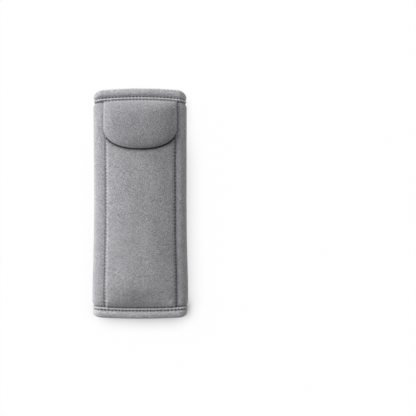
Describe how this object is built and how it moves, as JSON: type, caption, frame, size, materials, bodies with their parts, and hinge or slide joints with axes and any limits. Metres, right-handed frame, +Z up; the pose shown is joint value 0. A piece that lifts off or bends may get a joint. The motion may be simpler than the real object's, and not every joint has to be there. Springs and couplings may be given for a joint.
{
  "type": "seat belt shoulder pad",
  "caption": "Padded plush sleeve that closes round a car seat belt with a hook-and-loop back, with bound ends, a flat pocket and a rounded D flap on its front.",
  "frame": {"origin": "on the resting plane under the middle of the pad, which lies face up on its closed back", "axes": "+Y along the belt towards the flap end, +X to the right across the pad, +Z up out of the front face"},
  "size_m": [0.0936, 0.2302, 0.0302],
  "materials": {
    "plush": "short pile, matte",
    "plush_band": "short pile, matte",
    "foam": "open-cell foam",
    "lining": "fine knit, matte",
    "fastener": "hook-and-loop tape"
  },
  "bodies": {
    "root": {"outer_cover": "plush", "padding_foam": "foam", "belt_lining": "lining", "top_hem_band": "plush_band", "bottom_hem_band": "plush_band", "hook_strip": "fastener", "loop_strip": "fastener", "pocket_panel": "plush", "pocket_loop_patch": "fastener", "flap_hook_patch": "fastener", "flap_lining": "lining", "flap_padding": "foam", "flap_face": "plush"}
  },
  "joints": []
}
